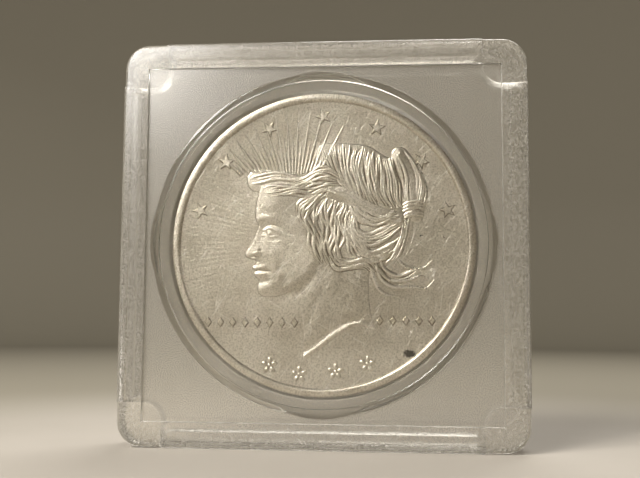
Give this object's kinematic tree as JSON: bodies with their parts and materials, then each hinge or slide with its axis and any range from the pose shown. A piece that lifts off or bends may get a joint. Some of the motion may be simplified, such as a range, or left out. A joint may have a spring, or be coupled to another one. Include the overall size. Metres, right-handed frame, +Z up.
{
  "type": "coin snap holder with coin",
  "caption": "Square clear plastic snap-together coin holder with a large silver coin inside; the front cover and the coin lift out of the back cover.",
  "frame": {"origin": "middle of the bottom edge that the closed holder stands on", "axes": "+Z up along the holder's height, +X along its width to the right, -Y out of the face that shows the coin's portrait side"},
  "size_m": [0.0508, 0.0064, 0.0508],
  "materials": {
    "clear_plastic_front": "clear polystyrene, polished over the coin and fine-grained elsewhere",
    "clear_plastic_back": "clear polystyrene, polished over the coin and fine-grained elsewhere",
    "coin_silver": "struck silver, satin with light wear and toning"
  },
  "bodies": {
    "back": {"back_cover": "clear_plastic_back"},
    "coin": {"coin": "coin_silver"},
    "front": {"front_cover": "clear_plastic_front"}
  },
  "joints": [
    {"name": "coin_lift", "type": "slide", "parent": "back", "child": "coin", "axis": [0, -1, 0], "range_m": [0, 0.03]},
    {"name": "cover_lift", "type": "slide", "parent": "coin", "child": "front", "axis": [0, -1, 0], "range_m": [0, 0.03]}
  ]
}
